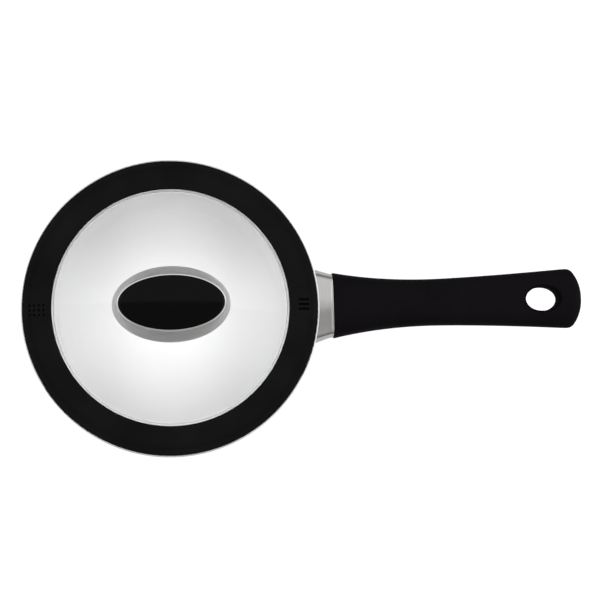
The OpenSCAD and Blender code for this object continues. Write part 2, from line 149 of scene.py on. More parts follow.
class SaucepanTints(PropertyGroup):
    """Colours of the finishes."""

    steel: tint("Steel", "Stainless steel of the pan", (0.58, 0.57, 0.56))
    inside: tint("Inside", "Satin inside of the pan", (0.955, 0.953, 0.957))
    collar: tint("Collar", "Brushed steel of the knob's collar", (0.69, 0.68, 0.675))
    guard: tint("Guard", "Brushed steel of the flame guard", (0.565, 0.55, 0.545))
    plated: tint("Plated", "Zinc-plated screws and washers", (0.58, 0.58, 0.60))
    aluminium: tint("Aluminium", "Core of the base", (0.80, 0.80, 0.81))
    brass: tint("Brass", "Threaded insert", (0.78, 0.56, 0.25))
    grip: tint("Grip", "Matte plastic of the grip", (0.0011, 0.0008, 0.0012))
    rubber: tint("Rubber", "Silicone of the lid's band", (0.0021, 0.0021, 0.0023))
    knob: tint("Knob", "Matte plastic of the knob", (0.0014, 0.0014, 0.0015))
    cap: tint("Cap", "Glossy plastic of the knob's cap", (0.0004, 0.0004, 0.0004))
    glass: tint("Glass", "Tempered glass of the lid", (0.992, 0.994, 0.996))
    nylon: tint("Nylon", "Bush in the glass", (0.78, 0.77, 0.73))


class SaucepanSettings(PropertyGroup):
    """Everything that can be changed on the saucepan."""

    grip: PointerProperty(type=SaucepanGripSizes)
    guard: PointerProperty(type=SaucepanGuardSizes)
    knob: PointerProperty(type=SaucepanKnobSizes)
    tints: PointerProperty(type=SaucepanTints)


# ---------- modelling ----------


def clear_selection():
    """Leaves nothing selected and nothing in edit mode."""
    active = bpy.context.view_layer.objects.active
    if active is not None and active.mode != "OBJECT":
        bpy.ops.object.mode_set(mode="OBJECT")
    bpy.ops.object.select_all(action="DESELECT")


def take(piece):
    """Makes one piece the only selected and active one."""
    clear_selection()
    piece.select_set(True)
    bpy.context.view_layer.objects.active = piece


def settle(name):
    """Names the new piece and puts its place into its mesh."""
    piece = bpy.context.active_object
    piece.name = name
    piece.data.name = name
    bpy.ops.object.transform_apply(location=True, rotation=True, scale=True)
    return piece


def oval_outline(name, ring, sides):
    """An oval outline about the upright axis, left selected in edit mode.

    A ring is a height and two half sizes.
    """
    clear_selection()
    height, half_a, half_b = ring
    bpy.ops.mesh.primitive_circle_add(
        vertices=sides, radius=half_a, fill_type="NOTHING", location=(0, 0, height),
    )
    piece = settle(name)
    bpy.ops.object.mode_set(mode="EDIT")
    bpy.ops.mesh.select_all(action="SELECT")
    bpy.ops.transform.resize(value=(1, half_b / half_a, 1), center_override=(0, 0, height))
    return piece


def draw_up(rings):
    """Draws the selected oval through rings about the upright axis."""
    for (z0, a0, b0), (z1, a1, b1) in zip(rings, rings[1:]):
        bpy.ops.mesh.extrude_region_move(TRANSFORM_OT_translate={"value": (0, 0, z1 - z0)})
        bpy.ops.transform.resize(value=(a1 / a0, b1 / b0, 1), center_override=(0, 0, z1))


def handle_outline(name, ring, power, steps):
    """A rounded outline across the handle, left selected in edit mode.

    A ring is a place and two half sizes.
    """
    clear_selection()
    x, z, half_w, half_h = ring
    bpy.ops.mesh.primitive_plane_add(size=2, location=(x, 0, z), rotation=(0, math.pi / 2, 0))
    piece = settle(name)
    bpy.ops.object.mode_set(mode="EDIT")
    bpy.ops.mesh.select_all(action="SELECT")
    bpy.ops.mesh.bevel(
        offset_type="OFFSET", offset=1.0, segments=steps, profile=2 ** (-2 / power), affect="VERTICES",
        clamp_overlap=False,
    )
    bpy.ops.mesh.select_all(action="SELECT")
    bpy.ops.mesh.remove_doubles(threshold=1e-4)
    bpy.ops.mesh.delete(type="ONLY_FACE")
    bpy.ops.mesh.select_all(action="SELECT")
    bpy.ops.transform.resize(value=(1, half_w, half_h), center_override=(x, 0, z))
    return piece


def draw_along(rings):
    """Draws the selected outline through rings along the handle."""
    for (x0, z0, w0, h0), (x1, z1, w1, h1) in zip(rings, rings[1:]):
        bpy.ops.mesh.extrude_region_move(TRANSFORM_OT_translate={"value": (x1 - x0, 0, z1 - z0)})
        bpy.ops.transform.resize(value=(1, w1 / w0, h1 / h0), center_override=(x1, 0, z1))


def pick(piece, test):
    """Selects the points that pass a test of their place, in edit mode."""
    bpy.ops.mesh.select_all(action="DESELECT")
    bpy.ops.object.mode_set(mode="OBJECT")
    for point in piece.data.vertices:
        point.select = test(point.co)
    bpy.ops.object.mode_set(mode="EDIT")


def gather_end():
    """Closes the selected outline with a fan to its middle."""
    bpy.ops.mesh.extrude_region_move(TRANSFORM_OT_translate={"value": (0, 0, 0)})
    bpy.ops.mesh.merge(type="CENTER")


def face_outwards():
    """Merges points that lie on each other and turns every face outwards; leaves edit mode."""
    bpy.ops.mesh.select_all(action="SELECT")
    bpy.ops.mesh.remove_doubles(threshold=1e-6)
    bpy.ops.mesh.normals_make_consistent(inside=False)
    bpy.ops.object.mode_set(mode="OBJECT")


def smooth(piece, degrees):
    """Smooth shading, with edges sharper than the angle kept crisp."""
    take(piece)
    bpy.ops.object.shade_smooth_by_angle(angle=math.radians(degrees), keep_sharp_edges=False)


def combine(piece, other, how):
    """Cuts another closed shape from the piece, or joins it on, and throws the other away."""
    take(piece)
    bpy.ops.object.modifier_add(type="BOOLEAN")
    step = piece.modifiers[-1]
    step.operation = how
    step.solver = "EXACT"
    step.object = other
    bpy.ops.object.modifier_apply(modifier=step.name)
    bpy.data.objects.remove(other)
    if len(piece.data.polygons) < 12:
        raise RuntimeError(f"{piece.name} was lost in a cut")


def cut_away(piece, cutter):
    combine(piece, cutter, "DIFFERENCE")


def join_on(piece, part):
    combine(piece, part, "UNION")


def tang_place(along, up):
    """A point in the tang's frame: along it from the front of the grip, and up from its middle."""
    turn = tang_slope()
    front = handle_front()
    return Vector((
        front.x + along * math.cos(turn) - up * math.sin(turn),
        0,
        front.z + along * math.sin(turn) + up * math.cos(turn),
    ))


def tang_block(name, start, end, half_w, low, high):
    """A square-sided cutter in the tang's frame."""
    clear_selection()
    bpy.ops.mesh.primitive_cube_add(size=1, location=tang_place((start + end) / 2, (low + high) / 2),
                                    rotation=(0, -tang_slope(), 0),
                                    scale=(end - start, 2 * half_w, high - low))
    return settle(name)


def tang_bore(name, along, radius, low, high):
    """A round cutter across the tang."""
    clear_selection()
    bpy.ops.mesh.primitive_cylinder_add(vertices=64, radius=radius, depth=high - low,
                                        location=tang_place(along, (low + high) / 2),
                                        rotation=(0, -tang_slope(), 0))
    return settle(name)


# ---------- the handle's lines ----------


def settings():
    return bpy.context.scene.saucepan


def handle_front():
    """Middle of the grip's front face."""
    return Vector((grip_low.x, 0, grip_low.z + settings().grip.front_h / 2))


def tang_slope():
    s = settings().grip
    return math.atan(s.rise * math.pi / 2 / s.long)


def grip_side(x):
    """Half width of the grip: widest at the front, waisted, wide again near its end."""
    s = settings().grip
    front = grip_low.x
    waist = front + 0.39 * s.long
    tail = front + s.long - 0.010
    if x < waist:
        return s.waist_w / 2 + (s.front_w - s.waist_w) / 2 * ((waist - x) / (waist - front)) ** 2.1
    return s.waist_w / 2 + (s.tail_w - s.waist_w) / 2 * ((x - waist) / (tail - waist)) ** 1.5


def grip_half_w(x):
    """Half width with the rounded free end and its softened corners."""
    s = settings().grip
    end = grip_low.x + s.long
    arc = math.sqrt(max(1e-8, s.end_r ** 2 - max(0.0, x - end + s.end_r) ** 2))
    side = grip_side(x)
    return side * (1 + (side / arc) ** 16) ** (-1 / 16)


def grip_half_h(x):
    s = settings().grip
    left = (grip_low.x + s.long - x) / s.long
    body = s.tail_h / 2 + (s.front_h - s.tail_h) / 2 * left * left
    near = max(0.0, 1 - left * s.long / s.end_round)
    return body * math.sqrt(max(0.004, 1 - near * near))


def grip_mid_z(x):
    s = settings().grip
    return handle_front().z + s.rise * math.sin(math.pi / 2 * (x - grip_low.x) / s.long)


def grip_ring(x, shrink=0.0):
    return (x, grip_mid_z(x), grip_half_w(x) - shrink, grip_half_h(x) - shrink)


def guard_ring(x, inset=0.0):
    s = settings().guard
    back = grip_low.x - x
    return (
        x,
        handle_front().z - back * math.tan(tang_slope()),
        s.wide / 2 + s.flare * back - inset,
        s.high / 2 + s.flare * s.flare_up * back - inset,
    )


def collar_ring(share, inset=0.0):
    """Ring of the knob's collar: share 0 is its lower edge and 1 its top."""
    s = settings().knob
    return (
        collar_low.z + (collar_high.z - collar_low.z) * share,
        s.long / 2 + (s.top_long - s.long) / 2 * share - inset,
        s.wide / 2 + (s.top_wide - s.wide) / 2 * share - inset,
    )


def through(rings, steps):
    """A smooth run of rings through the given ones, which it never overshoots."""
    def slope(low, high):
        return 0.0 if low * high <= 0 else 2 * low * high / (low + high)

    made = []
    count = len(rings)
    for i in range(count - 1):
        span = rings[i + 1][0] - rings[i][0]
        for j in range(steps):
            u = j / steps
            values = [rings[i][0] + span * u]
            for axis in (1, 2):
                here = (rings[i + 1][axis] - rings[i][axis]) / span
                before = here
                if i > 0:
                    before = (rings[i][axis] - rings[i - 1][axis]) / (rings[i][0] - rings[i - 1][0])
                after = here if i == count - 2 else (
                    (rings[i + 2][axis] - rings[i + 1][axis]) / (rings[i + 2][0] - rings[i + 1][0]))
                m0, m1 = slope(before, here) * span, slope(here, after) * span
                values.append(
                    (2 * u ** 3 - 3 * u ** 2 + 1) * rings[i][axis] + (u ** 3 - 2 * u ** 2 + u) * m0
                    + (3 * u ** 2 - 2 * u ** 3) * rings[i + 1][axis] + (u ** 3 - u ** 2) * m1
                )
            made.append(tuple(values))
    made.append(tuple(rings[-1]))
    return made


# ---------- shading ----------


def add(tree, kind, settings_of=None, **values):
    """A node with its settings and the values of its input sockets."""
    made = tree.nodes.new(kind)
    for key, value in (settings_of or {}).items():
        setattr(made, key, value)
    for key, value in values.items():
        made.inputs[key.replace("_", " ")].default_value = value
    return made


def join(tree, source, target):
    tree.links.new(source, target)


def math_of(tree, operation, first, second=None, third=None):
    """A Math node; each input is a number or an output socket."""
    made = add(tree, "ShaderNodeMath", {"operation": operation})
    for i, value in enumerate((first, second, third)):
        if value is None:
            continue
        if isinstance(value, (int, float)):
            made.inputs[i].default_value = value
        else:
            join(tree, value, made.inputs[i])
    return made.outputs[0]


def spread(tree, value, low, high, to_low, to_high, soft=False):
    """Maps a value from one span to another."""
    made = add(tree, "ShaderNodeMapRange", {"interpolation_type": "SMOOTHSTEP" if soft else "LINEAR"})
    join(tree, value, made.inputs["Value"])
    for label, number in (("From Min", low), ("From Max", high), ("To Min", to_low), ("To Max", to_high)):
        made.inputs[label].default_value = number
    return made.outputs["Result"]


def blend_colours(tree, share, first, second):
    """A colour between two, by a share that changes over the surface."""
    made = add(tree, "ShaderNodeMix", {"data_type": "RGBA"})
    join(tree, share, made.inputs["Factor"])
    made.inputs["A"].default_value = (*first, 1)
    made.inputs["B"].default_value = (*second, 1)
    return made.outputs["Result"]


def length_of(tree, first, second):
    """Length across two parts at right angles."""
    squares = [math_of(tree, "MULTIPLY", part, part) for part in (first, second)]
    return math_of(tree, "SQRT", math_of(tree, "ADD", *squares))


def new_group(name, takes, gives):
    """An empty node group with its sockets, and its two end nodes."""
    made = bpy.data.node_groups.new(name, "ShaderNodeTree")
    for label, kind, default in takes:
        socket = made.interface.new_socket(name=label, in_out="INPUT", socket_type=kind)
        if default is not None:
            socket.default_value = default
    for label in gives:
        made.interface.new_socket(name=label, in_out="OUTPUT", socket_type="NodeSocketFloat")
    return made, made.nodes.new("NodeGroupInput"), made.nodes.new("NodeGroupOutput")


def lines_from(tree, across, first, second, start, end):
    """Stretched noise: close together across the lines, long along them."""
    place = tree.nodes.new("ShaderNodeCombineXYZ")
    join(tree, math_of(tree, "MULTIPLY", across, start.outputs["Across"]), place.inputs["X"])
    join(tree, math_of(tree, "MULTIPLY", first, start.outputs["Along"]), place.inputs["Y"])
    join(tree, math_of(tree, "MULTIPLY", second, start.outputs["Along"]), place.inputs["Z"])
    noise = add(tree, "ShaderNodeTexNoise", Scale=1.0, Detail=4.0, Roughness=0.62)
    join(tree, place.outputs[0], noise.inputs["Vector"])
    join(tree, spread(tree, noise.outputs["Fac"], 0.3, 0.7, 0.0, 1.0), end.inputs["Lines"])


def spun_lines():
    """Fine rings left by polishing on a turning spindle."""
    name = "Spun Lines"
    if name in bpy.data.node_groups:
        return bpy.data.node_groups[name]
    tree, start, end = new_group(
        name,
        [
            ("Vector", "NodeSocketVector", None),
            ("Across", "NodeSocketFloat", 5000.0),
            ("Along", "NodeSocketFloat", 25.0),
        ],
        ["Lines"],
    )
    part = tree.nodes.new("ShaderNodeSeparateXYZ")
    join(tree, start.outputs["Vector"], part.inputs[0])
    x, y, z = part.outputs
    radius = length_of(tree, x, y)
    lines_from(tree, math_of(tree, "ADD", radius, z), x, y, start, end)
    return tree


def drawn_lines():
    """Straight brushing; its first axis runs across the lines."""
    name = "Drawn Lines"
    if name in bpy.data.node_groups:
        return bpy.data.node_groups[name]
    tree, start, end = new_group(
        name,
        [
            ("Vector", "NodeSocketVector", None),
            ("Across", "NodeSocketFloat", 5000.0),
            ("Along", "NodeSocketFloat", 40.0),
        ],
        ["Lines"],
    )
    part = tree.nodes.new("ShaderNodeSeparateXYZ")
    join(tree, start.outputs["Vector"], part.inputs[0])
    lines_from(tree, *part.outputs, start, end)
    return tree


def fine_grain():
    """The grain of a moulded matte surface, and slow changes across it."""
    name = "Fine Grain"
    if name in bpy.data.node_groups:
        return bpy.data.node_groups[name]
    tree, start, end = new_group(
        name,
        [
            ("Vector", "NodeSocketVector", None),
            ("Grain", "NodeSocketFloat", 2600.0),
            ("Mottle", "NodeSocketFloat", 45.0),
        ],
        ["Grain", "Mottle"],
    )
    small = add(tree, "ShaderNodeTexNoise", Detail=3.0, Roughness=0.55)
    cells = add(tree, "ShaderNodeTexVoronoi", {"feature": "F1"})
    large = add(tree, "ShaderNodeTexNoise", Detail=4.0, Roughness=0.6)
    for texture, scale in ((small, "Grain"), (cells, "Grain"), (large, "Mottle")):
        join(tree, start.outputs["Vector"], texture.inputs["Vector"])
        join(tree, start.outputs[scale], texture.inputs["Scale"])
    both = math_of(tree, "MULTIPLY_ADD", cells.outputs["Distance"], 0.6, small.outputs["Fac"])
    join(tree, spread(tree, both, 0.4, 1.2, 0.0, 1.0), end.inputs["Grain"])
    join(tree, spread(tree, large.outputs["Fac"], 0.3, 0.7, 0.0, 1.0), end.inputs["Mottle"])
    return tree


def handling_marks():
    """Soft smears and thin scratches where hands and cloths have been."""
    name = "Handling Marks"
    if name in bpy.data.node_groups:
        return bpy.data.node_groups[name]
    tree, start, end = new_group(
        name,
        [
            ("Vector", "NodeSocketVector", None),
            ("Size", "NodeSocketFloat", 30.0),
            ("Scratches", "NodeSocketFloat", 220.0),
        ],
        ["Smears", "Scratches"],
    )
    smear = add(tree, "ShaderNodeTexNoise", Detail=5.0, Roughness=0.65, Distortion=1.2)
    join(tree, start.outputs["Vector"], smear.inputs["Vector"])
    join(tree, start.outputs["Size"], smear.inputs["Scale"])
    join(tree, spread(tree, smear.outputs["Fac"], 0.48, 0.72, 0.0, 1.0, soft=True), end.inputs["Smears"])
    drift = add(tree, "ShaderNodeTexNoise", Detail=2.0, Scale=18.0)
    join(tree, start.outputs["Vector"], drift.inputs["Vector"])
    bent = add(tree, "ShaderNodeVectorMath", {"operation": "MULTIPLY_ADD"})
    join(tree, drift.outputs["Color"], bent.inputs[0])
    bent.inputs[1].default_value = (0.02, 0.02, 0.02)
    join(tree, start.outputs["Vector"], bent.inputs[2])
    cells = add(tree, "ShaderNodeTexVoronoi", {"feature": "DISTANCE_TO_EDGE"})
    join(tree, bent.outputs[0], cells.inputs["Vector"])
    join(tree, start.outputs["Scratches"], cells.inputs["Scale"])
    thin = spread(tree, cells.outputs["Distance"], 0.0, 0.012, 1.0, 0.0)
    rare = add(tree, "ShaderNodeTexNoise", Detail=1.0, Scale=120.0)
    join(tree, start.outputs["Vector"], rare.inputs["Vector"])
    kept = spread(tree, rare.outputs["Fac"], 0.58, 0.68, 0.0, 1.0)
    join(tree, math_of(tree, "MULTIPLY", thin, kept), end.inputs["Scratches"])
    return tree


def use(tree, group, vector, **values):
    """Places a node group in a material with its own values."""
    made = tree.nodes.new("ShaderNodeGroup")
    made.node_tree = group
    join(tree, vector, made.inputs["Vector"])
    for key, value in values.items():
        made.inputs[key].default_value = value
    return made


def new_finish(name, metallic=0.0, roughness=0.5, **values):
    """A material with a Principled shader and the piece's own coordinates."""
    made = bpy.data.materials.new(name)
    made.use_nodes = True
    tree = made.node_tree
    tree.nodes.clear()
    output = tree.nodes.new("ShaderNodeOutputMaterial")
    shader = add(tree, "ShaderNodeBsdfPrincipled", Metallic=metallic, Roughness=roughness, **values)
    join(tree, shader.outputs[0], output.inputs["Surface"])
    place = tree.nodes.new("ShaderNodeTexCoord").outputs["Object"]
    return made, tree, shader, place


def relief(tree, shader, height, depth, strength, below=None):
    """A bump of a real depth in metres, on top of another one if there is one."""
    made = add(tree, "ShaderNodeBump", Strength=strength, Distance=depth)
    join(tree, height, made.inputs["Height"])
    if below is not None:
        join(tree, below, made.inputs["Normal"])
    join(tree, made.outputs[0], shader.inputs["Normal"])
    return made.outputs[0]


def scaled(colour, by):
    return tuple(min(1.0, part * by) for part in colour)


def pan_steel():
    """Polished and spun outside and rim, with the top of the rim painted near-white as a painted highlight;
    plain steel up the wall inside, satin on the pan's floor.
    """
    tints = settings().tints
    made, tree, shader, place = new_finish(
        "Pan Steel", metallic=1.0, roughness=0.22, Anisotropic=0.7, Anisotropic_Rotation=0.25,
    )
    round_axis = add(tree, "ShaderNodeTangent", {"direction_type": "RADIAL", "axis": "Z"})
    join(tree, round_axis.outputs[0], shader.inputs["Tangent"])
    part = tree.nodes.new("ShaderNodeSeparateXYZ")
    join(tree, place, part.inputs[0])
    x, y, z = part.outputs
    radius = length_of(tree, x, y)
    out = math_of(tree, "MAXIMUM", math_of(tree, "SUBTRACT", radius, 0.074), 0.0)
    down = math_of(tree, "MAXIMUM", math_of(tree, "SUBTRACT", 0.023, z), 0.0)
    reach = length_of(tree, out, down)
    inside = spread(tree, reach, 0.0163, 0.0165, 1.0, 0.0)
    upright = math_of(tree, "MULTIPLY", inside, spread(tree, z, 0.020, 0.034, 0.0, 1.0, soft=True))
    lines = use(tree, spun_lines(), place, Across=4200.0, Along=22.0).outputs["Lines"]
    marks = use(tree, handling_marks(), place, Size=26.0, Scratches=160.0)
    steel = blend_colours(tree, lines, scaled(tints.steel, 0.93), scaled(tints.steel, 1.04))
    satin = blend_colours(tree, lines, scaled(tints.inside, 0.97), scaled(tints.inside, 1.02))
    # Painted highlight: the top few millimetres of the rim are painted near-white in place of the overhead
    # light's reflection.
    rim_highlight = spread(tree, z, shell_high.z - 0.0035, shell_high.z - 0.0015, 0.0, 1.0, soft=True)
    rim = add(tree, "ShaderNodeMix", {"data_type": "RGBA"})
    join(tree, rim_highlight, rim.inputs["Factor"])
    join(tree, steel, rim.inputs["A"])
    rim.inputs["B"].default_value = (0.97, 0.97, 0.97, 1)
    both = add(tree, "ShaderNodeMix", {"data_type": "RGBA"})
    join(tree, inside, both.inputs["Factor"])
    join(tree, rim.outputs["Result"], both.inputs["A"])
    join(tree, satin, both.inputs["B"])
    wall = add(tree, "ShaderNodeMix", {"data_type": "RGBA"})
    join(tree, upright, wall.inputs["Factor"])
    join(tree, both.outputs["Result"], wall.inputs["A"])
    join(
        tree, blend_colours(tree, lines, scaled(tints.steel, 0.86), scaled(tints.steel, 1.0)),
        wall.inputs["B"],
    )
    join(tree, wall.outputs["Result"], shader.inputs["Base Color"])
    rough = math_of(tree, "MULTIPLY_ADD", inside, 0.20, spread(tree, lines, 0.0, 1.0, 0.17, 0.27))
    join(
        tree, math_of(tree, "MULTIPLY_ADD", marks.outputs["Smears"], 0.05, rough), shader.inputs["Roughness"],
    )
    metal = math_of(tree, "MULTIPLY_ADD", upright, 0.72, spread(tree, inside, 0.0, 1.0, 1.0, 0.24))
    join(tree, metal, shader.inputs["Metallic"])
    height = math_of(tree, "MULTIPLY_ADD", marks.outputs["Scratches"], -0.6, lines)
    relief(tree, shader, height, 0.000012, 0.35)
    return made


def spun_metal(name, colour, roughness, across, depth):
    """Turned metal with fine rings."""
    made, tree, shader, place = new_finish(name, metallic=1.0, roughness=roughness)
    lines = use(tree, spun_lines(), place, Across=across, Along=20.0).outputs["Lines"]
    marks = use(tree, handling_marks(), place, Size=40.0, Scratches=200.0)
    join(
        tree, blend_colours(tree, lines, scaled(colour, 0.86), scaled(colour, 1.05)),
        shader.inputs["Base Color"],
    )
    rough = spread(tree, lines, 0.0, 1.0, roughness - 0.06, roughness + 0.08)
    join(
        tree, math_of(tree, "MULTIPLY_ADD", marks.outputs["Smears"], 0.06, rough), shader.inputs["Roughness"],
    )
    relief(tree, shader, lines, depth, 0.5)
    return made


def small_metal(name, colour, roughness, across):
    """Plated or machined metal of the small fixings."""
    made, tree, shader, place = new_finish(name, metallic=1.0, roughness=roughness)
    lines = use(tree, drawn_lines(), place, Across=across, Along=300.0).outputs["Lines"]
    marks = use(tree, handling_marks(), place, Size=160.0, Scratches=500.0)
    join(
        tree, blend_colours(tree, marks.outputs["Smears"], colour, scaled(colour, 0.74)),
        shader.inputs["Base Color"],
    )
    join(tree, spread(tree, lines, 0.0, 1.0, roughness - 0.08, roughness + 0.1), shader.inputs["Roughness"])
    relief(tree, shader, lines, 0.00001, 0.4)
    return made


def brushed_sheet(name, colour, roughness, turn, across, polish=None):
    """Brushed sheet steel; turn brings the first axis across the lines.

    Polish is a height span that shines.
    """
    made, tree, shader, place = new_finish(name, metallic=1.0, roughness=roughness)
    turned = add(tree, "ShaderNodeMapping", {"vector_type": "POINT"})
    turned.inputs["Rotation"].default_value = turn
    join(tree, place, turned.inputs["Vector"])
    lines = use(tree, drawn_lines(), turned.outputs[0], Across=across, Along=60.0).outputs["Lines"]
    marks = use(tree, handling_marks(), place, Size=60.0, Scratches=300.0)
    dull = blend_colours(tree, lines, scaled(colour, 0.92), scaled(colour, 1.06))
    rough = math_of(
        tree, "MULTIPLY_ADD", marks.outputs["Smears"], 0.05,
        spread(tree, lines, 0.0, 1.0, roughness - 0.05, roughness + 0.06),
    )
    if polish is None:
        join(tree, dull, shader.inputs["Base Color"])
        join(tree, rough, shader.inputs["Roughness"])
    else:
        part = tree.nodes.new("ShaderNodeSeparateXYZ")
        join(tree, place, part.inputs[0])
        bright = spread(tree, part.outputs["Z"], polish[0], polish[1], 0.0, 1.0, soft=True)
        both = add(tree, "ShaderNodeMix", {"data_type": "RGBA"})
        join(tree, bright, both.inputs["Factor"])
        join(tree, dull, both.inputs["A"])
        both.inputs["B"].default_value = (0.78, 0.78, 0.78, 1)
        join(tree, both.outputs["Result"], shader.inputs["Base Color"])
        join(tree, math_of(tree, "MULTIPLY_ADD", bright, -0.12, rough), shader.inputs["Roughness"])
    relief(tree, shader, lines, 0.00001, 0.35)
    return made


def paint_shade_in_marks(tree, place, tone, dark, slope):
    """Darkens what lies just under the sloping top of a band: painted shade in the marks sunk in it."""
    inner, outer, inner_high, outer_high = slope
    part = tree.nodes.new("ShaderNodeSeparateXYZ")
    join(tree, place, part.inputs[0])
    x, y, z = part.outputs
    radius = length_of(tree, x, y)
    under = math_of(tree, "SUBTRACT", spread(tree, radius, inner, outer, inner_high, outer_high), z)
    # Painted shade: the recess just under the band's top, where marks are sunk, is darkened.
    shaded_sunk = math_of(
        tree, "MULTIPLY", spread(tree, under, 0.0001, 0.0004, 0.0, 1.0),
        spread(tree, under, 0.0008, 0.0009, 1.0, 0.0),
    )
    near = spread(tree, radius, inner + 0.003, inner + 0.0035, 0.0, 1.0)
    away = spread(tree, radius, outer - 0.0035, outer - 0.003, 1.0, 0.0)
    mixed = add(tree, "ShaderNodeMix", {"data_type": "RGBA"})
    join(tree, math_of(tree, "MULTIPLY", shaded_sunk, math_of(tree, "MULTIPLY", near, away)), mixed.inputs["Factor"])
    join(tree, tone, mixed.inputs["A"])
    mixed.inputs["B"].default_value = (*dark, 1)
    return mixed.outputs["Result"]


def moulded(name, colour, roughness, gloss, grain, depth, mottle=45.0, recess=None, slope=None):
    """Moulded plastic or rubber with a fine grain. Gloss is how strongly it mirrors.

    Inside an oval recess it is duller. A slope is the sloping top of a band: its inner and outer
    radius, and its height at each. Marks sunk in it get painted shade, darker than the band.
    """
    made, tree, shader, place = new_finish(name, roughness=roughness, Specular_IOR_Level=gloss)
    skin = use(tree, fine_grain(), place, Grain=grain, Mottle=mottle)
    marks = use(tree, handling_marks(), place, Size=35.0, Scratches=180.0)
    tone = blend_colours(tree, skin.outputs["Mottle"], scaled(colour, 0.8), scaled(colour, 1.3))
    if slope is not None:
        # Painted shade: the floors of marks sunk under the band's top are painted near-black.
        tone = paint_shade_in_marks(tree, place, tone, scaled(colour, 0.08), slope)
    join(tree, tone, shader.inputs["Base Color"])
    rough = spread(tree, skin.outputs["Grain"], 0.0, 1.0, roughness - 0.05, roughness + 0.07)
    rough = math_of(tree, "MULTIPLY_ADD", marks.outputs["Smears"], -0.06, rough)
    if recess is not None:
        centre, half_a, half_b = recess
        part = tree.nodes.new("ShaderNodeSeparateXYZ")
        join(tree, place, part.inputs[0])
        across = math_of(tree, "DIVIDE", math_of(tree, "SUBTRACT", part.outputs["X"], centre), half_a)
        aside = math_of(tree, "DIVIDE", part.outputs["Y"], half_b)
        reach = math_of(
            tree, "ADD", math_of(tree, "MULTIPLY", across, across), math_of(tree, "MULTIPLY", aside, aside),
        )
        rough = math_of(tree, "MAXIMUM", rough, spread(tree, reach, 1.0, 1.12, 1.0, 0.0, soft=True))
    join(tree, rough, shader.inputs["Roughness"])
    relief(tree, shader, skin.outputs["Grain"], depth, 0.5)
    return made


def cap_gloss():
    """Glossy black plastic with a trace of handling."""
    tints = settings().tints
    made, tree, shader, place = new_finish("Cap Gloss", roughness=0.1, Specular_IOR_Level=0.095)
    skin = use(tree, fine_grain(), place, Grain=500.0, Mottle=70.0)
    marks = use(tree, handling_marks(), place, Size=70.0, Scratches=240.0)
    join(
        tree, blend_colours(tree, skin.outputs["Mottle"], scaled(tints.cap, 0.8), scaled(tints.cap, 1.2)),
        shader.inputs["Base Color"],
    )
    join(tree, spread(tree, marks.outputs["Smears"], 0.0, 1.0, 0.06, 0.16), shader.inputs["Roughness"])
    relief(tree, shader, skin.outputs["Grain"], 0.000004, 0.25)
    return made


def lid_glass():
    """Clear tempered glass with a faint moulded ring near its edge; it lets light through to the pan."""
    tints = settings().tints
    made, tree, shader, place = new_finish("Lid Glass", roughness=0.0, IOR=1.5, Transmission_Weight=1.0)
    shader.inputs["Base Color"].default_value = (*tints.glass, 1)
    marks = use(tree, handling_marks(), place, Size=22.0, Scratches=90.0)
    part = tree.nodes.new("ShaderNodeSeparateXYZ")
    join(tree, place, part.inputs[0])
    x, y, z = part.outputs
    radius = length_of(tree, x, y)
    ground = spread(tree, radius, 0.0740, 0.0743, 0.0, 0.55, soft=True)
    smeared = spread(tree, marks.outputs["Smears"], 0.0, 1.0, 0.0, 0.035)
    join(tree, math_of(tree, "MAXIMUM", ground, smeared), shader.inputs["Roughness"])
    off = math_of(tree, "ABSOLUTE", math_of(tree, "SUBTRACT", radius, 0.0732))
    groove = spread(tree, off, 0.0, 0.0007, 0.0, 1.0, soft=True)
    relief(tree, shader, groove, 0.0003, 1.0)
    clear = tree.nodes.new("ShaderNodeBsdfTransparent")
    clear.inputs["Color"].default_value = (*scaled(tints.glass, 0.98), 1)
    path = tree.nodes.new("ShaderNodeLightPath")
    mixed = tree.nodes.new("ShaderNodeMixShader")
    join(tree, path.outputs["Is Shadow Ray"], mixed.inputs["Fac"])
    join(tree, shader.outputs[0], mixed.inputs[1])
    join(tree, clear.outputs[0], mixed.inputs[2])
    output = next(n for n in tree.nodes if n.type == "OUTPUT_MATERIAL")
    join(tree, mixed.outputs[0], output.inputs["Surface"])
    return made


def paint(piece, finish):
    """Gives every material slot of a piece the finish."""
    if not piece.material_slots:
        piece.data.materials.append(finish)
    for slot in piece.material_slots:
        slot.material = finish


def paint_nodes(names, finish):
    for name in names:
        paint(frame["nodes"][name], finish)


def hand_over(piece, body, node, finish):
    """Puts a new piece in the place of its CAD node."""
    paint(piece, finish)
    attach(piece, body)
    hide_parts(node)


# ---------- operators ----------


class SaucepanOperator:
    bl_options = {"REGISTER", "UNDO"}


class SAUCEPAN_OT_pan(SaucepanOperator, Operator):
    """Finish the pan, the core of its base and the base's steel cap"""

    bl_idname = "saucepan.pan"
    bl_label = "Finish Pan"

    def execute(self, context):
        tints = settings().tints
        paint_nodes(["pan_shell"], pan_steel())
        paint_nodes(["base_cap"], spun_metal("Base Steel", tints.steel, 0.24, 2600.0, 0.00002))
        paint_nodes(
            ["heat_spreader"], spun_metal("Spreader Aluminium", tints.aluminium, 0.42, 1800.0, 0.00003),
        )
        return {"FINISHED"}


